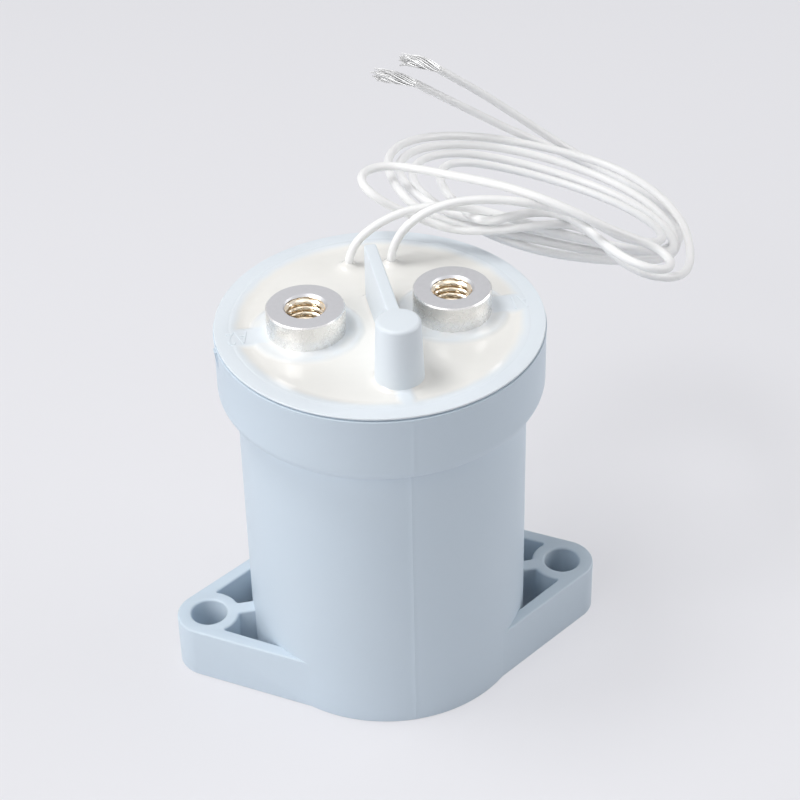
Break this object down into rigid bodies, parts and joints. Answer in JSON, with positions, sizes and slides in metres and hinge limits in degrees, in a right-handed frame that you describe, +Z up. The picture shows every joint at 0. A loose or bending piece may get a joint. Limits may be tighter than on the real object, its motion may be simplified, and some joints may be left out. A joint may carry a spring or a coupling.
{
  "type": "high voltage dc contactor",
  "caption": "Sealed dc contactor: round moulded cup with bolting ears, resin-filled top with tapped studs, barrier and post, loose coil leads, and a sprung plunger that lifts a contact bridge.",
  "frame": {"origin": "middle of the foot, on the surface it stands on", "axes": "+Z up along the cup, +X through the bolt holes and terminals, -Y towards the post"},
  "size_m": [0.119, 0.1076, 0.0989],
  "materials": {
    "housing_plastic": "fine satin moulding, pale grey blue",
    "lid_plastic": "satin moulding, paler blue, faintly translucent",
    "resin": "poured glossy off-white resin",
    "plated_copper": "satin nickel plate, copper in the thread",
    "insulator": "matt insulating plate",
    "copper": "bare copper",
    "contact_silver": "silver alloy",
    "magnet": "sintered ferrite",
    "spring_steel": "drawn steel",
    "soft_iron": "zinc plated soft iron",
    "sleeve_brass": "drawn brass",
    "pad_rubber": "moulded rubber",
    "bobbin_plastic": "moulded nylon",
    "wrap_tape": "polyester tape",
    "lead_jacket": "smooth white jacket",
    "tinned_strand": "tinned copper strands"
  },
  "bodies": {
    "base": {"housing": "housing_plastic", "top_frame": "lid_plastic", "potting": "resin", "terminal_left": "plated_copper", "terminal_right": "plated_copper", "header_plate": "insulator", "gas_tube": "copper", "fixed_tip_left": "contact_silver", "fixed_tip_right": "contact_silver", "arc_chamber": "insulator", "arc_magnet_front": "magnet", "arc_magnet_rear": "magnet", "return_spring": "spring_steel", "fixed_core": "soft_iron", "yoke_plate": "soft_iron", "yoke_frame": "soft_iron", "core_sleeve": "sleeve_brass", "damper_pad": "pad_rubber", "coil_bobbin": "bobbin_plastic", "coil_winding": "copper", "coil_wrap": "wrap_tape", "inner_lead_a": "lead_jacket", "inner_lead_b": "lead_jacket", "lead_wire_a": "lead_jacket", "lead_wire_b": "lead_jacket", "wire_coil": "lead_jacket", "wire_tail_a": "lead_jacket", "wire_tail_b": "lead_jacket", "bare_strands_a": "tinned_strand", "bare_strands_b": "tinned_strand"},
    "armature": {"plunger": "soft_iron", "plunger_shaft": "spring_steel", "spring_seat": "spring_steel", "retaining_clip": "spring_steel", "contact_spring": "spring_steel"},
    "bridge": {"contact_bridge": "copper", "bridge_tip_left": "contact_silver", "bridge_tip_right": "contact_silver"}
  },
  "joints": [
    {"name": "plunger_slide", "type": "slide", "parent": "base", "child": "armature", "axis": [0, 0, 1], "range_m": [0, 0.0024], "stiffness_N_per_m": 1500, "springref_m": -0.004, "deforming": ["return_spring", "contact_spring"]},
    {"name": "bridge_slide", "type": "slide", "parent": "base", "child": "bridge", "axis": [0, 0, 1], "range_m": [0, 0.0018]}
  ],
  "couplings": [
    {"joint": "bridge_slide", "follows": "plunger_slide", "ratio": 0.75}
  ]
}
